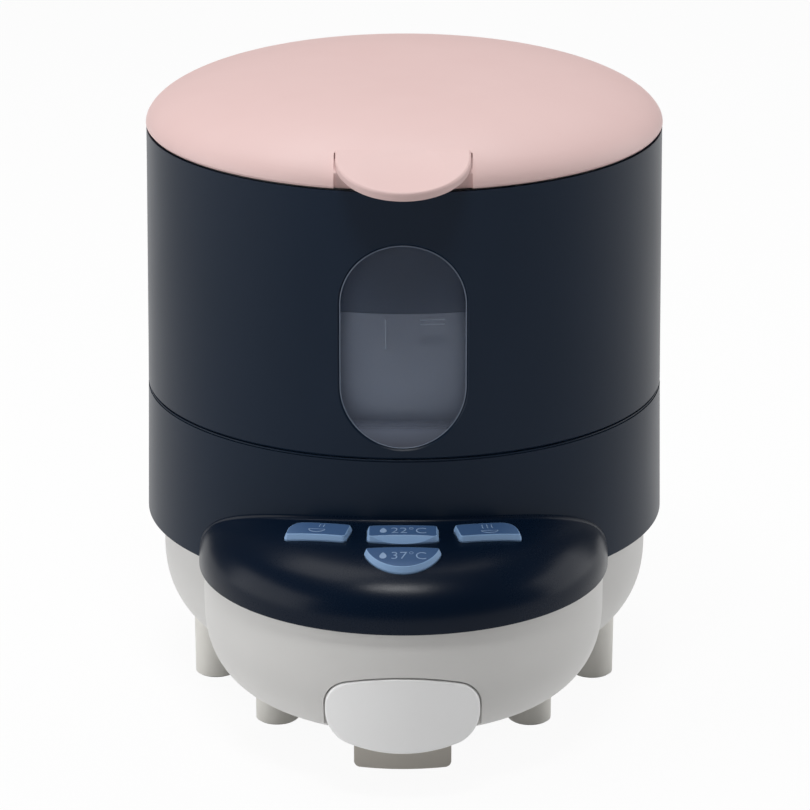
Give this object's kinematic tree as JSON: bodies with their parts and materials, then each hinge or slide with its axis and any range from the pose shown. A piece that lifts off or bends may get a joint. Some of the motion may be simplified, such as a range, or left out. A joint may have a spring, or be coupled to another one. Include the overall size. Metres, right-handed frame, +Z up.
{
  "type": "baby formula maker",
  "caption": "Baby formula maker: round lift-off water tank with a hinged lid and level window, bulging button console, bowl-shaped base on short feet, pull-out nozzle block.",
  "frame": {"origin": "middle of the footprint box, on the floor under the foot pads", "axes": "+Z up, -Y towards the console and the pull tab, +X to the right seen from the front"},
  "size_m": [0.1768, 0.2214, 0.211],
  "materials": {
    "lid_pink": "satin moulded, pale pink",
    "shell_navy": "satin moulded, dark navy",
    "console_navy": "gloss moulded, dark navy",
    "window_smoke": "smoked clear plastic",
    "tank_clear": "clear copolyester",
    "base_white": "satin moulded, off-white",
    "foot_grey": "matte moulded, pale grey",
    "tab_white": "satin moulded, pale grey",
    "nozzle_grey": "matte moulded, warm grey",
    "button_blue": "satin moulded, slate blue with pale print",
    "rubber_black": "matte",
    "silicone": "matte silicone",
    "rubber_grey": "matte",
    "steel": "plain bright",
    "brass": "plain bright",
    "heater_aluminium": "cast and machined",
    "board_green": "glass-epoxy laminate",
    "plastic_black": "moulded",
    "plastic_white": "moulded"
  },
  "bodies": {
    "housing": {"base_bowl": "base_white", "feet": "foot_grey", "foot_pads": "rubber_grey", "foot_screws": "steel", "lower_shell": "shell_navy", "control_console": "console_navy", "control_board": "board_green", "board_screws": "steel", "push_switches": "plastic_black", "chassis_plate": "plastic_white", "chassis_screws": "steel", "tank_socket": "plastic_white", "outlet_socket": "plastic_white", "water_heater": "heater_aluminium", "water_pump": "plastic_black", "pump_cradle": "rubber_black", "flow_meter": "plastic_white", "steam_valve": "plastic_white", "power_board": "board_green", "board_spacers": "plastic_white", "transformer": "plastic_black", "relays": "plastic_black", "capacitor": "plastic_black", "power_inlet": "plastic_black", "inlet_pins": "brass", "meter_hose": "silicone", "pump_hose": "silicone", "heater_hose": "silicone", "steam_hose": "silicone", "outlet_hose": "silicone"},
    "tank": {"tank_shell": "shell_navy", "tank_window": "window_smoke", "water_tank": "tank_clear", "tank_seal": "silicone", "tank_filter": "plastic_white", "valve_cage": "plastic_white", "valve_spring": "steel", "lid_hinge_pins": "steel"},
    "valve": {"valve_plunger": "plastic_white", "valve_washer": "silicone"},
    "lid": {"lid_cover": "lid_pink", "lid_tab": "lid_pink", "lid_liner": "plastic_white", "lid_seal": "silicone"},
    "warm_dish_key": {"button_warm_dish": "button_blue"},
    "steam_key": {"button_steam": "button_blue"},
    "key_22": {"button_22_degrees": "button_blue"},
    "key_37": {"button_37_degrees": "button_blue"},
    "outlet": {"pull_tab": "tab_white", "nozzle_block": "nozzle_grey", "outlet_seal": "silicone", "nozzle_tips": "silicone"}
  },
  "joints": [
    {"name": "tank_lift", "type": "slide", "parent": "housing", "child": "tank", "axis": [0, 0, 1], "range_m": [0, 0.12]},
    {"name": "lid_hinge", "type": "hinge", "parent": "tank", "child": "lid", "pos_m": [0, 0.10769, 0.1918], "axis": [-1, 0, 0], "range_deg": [0, 100]},
    {"name": "valve_slide", "type": "slide", "parent": "tank", "child": "valve", "axis": [0, 0, 1], "range_m": [-0.00245, 0], "deforming": ["valve_spring"]},
    {"name": "outlet_slide", "type": "slide", "parent": "housing", "child": "outlet", "axis": [0, -1, 0], "range_m": [0, 0.045]},
    {"name": "warm_dish_press", "type": "slide", "parent": "housing", "child": "warm_dish_key", "axis": [0, 0.2419, -0.9703], "range_m": [0, 0.001], "stiffness_N_per_m": 800},
    {"name": "steam_press", "type": "slide", "parent": "housing", "child": "steam_key", "axis": [0, 0.2419, -0.9703], "range_m": [0, 0.001], "stiffness_N_per_m": 800},
    {"name": "key_22_press", "type": "slide", "parent": "housing", "child": "key_22", "axis": [0, 0.2419, -0.9703], "range_m": [0, 0.001], "stiffness_N_per_m": 800},
    {"name": "key_37_press", "type": "slide", "parent": "housing", "child": "key_37", "axis": [0, 0.2419, -0.9703], "range_m": [0, 0.001], "stiffness_N_per_m": 800}
  ],
  "couplings": [
    {"joint": "valve_slide", "follows": "tank_lift", "ratio": -0.020417}
  ]
}
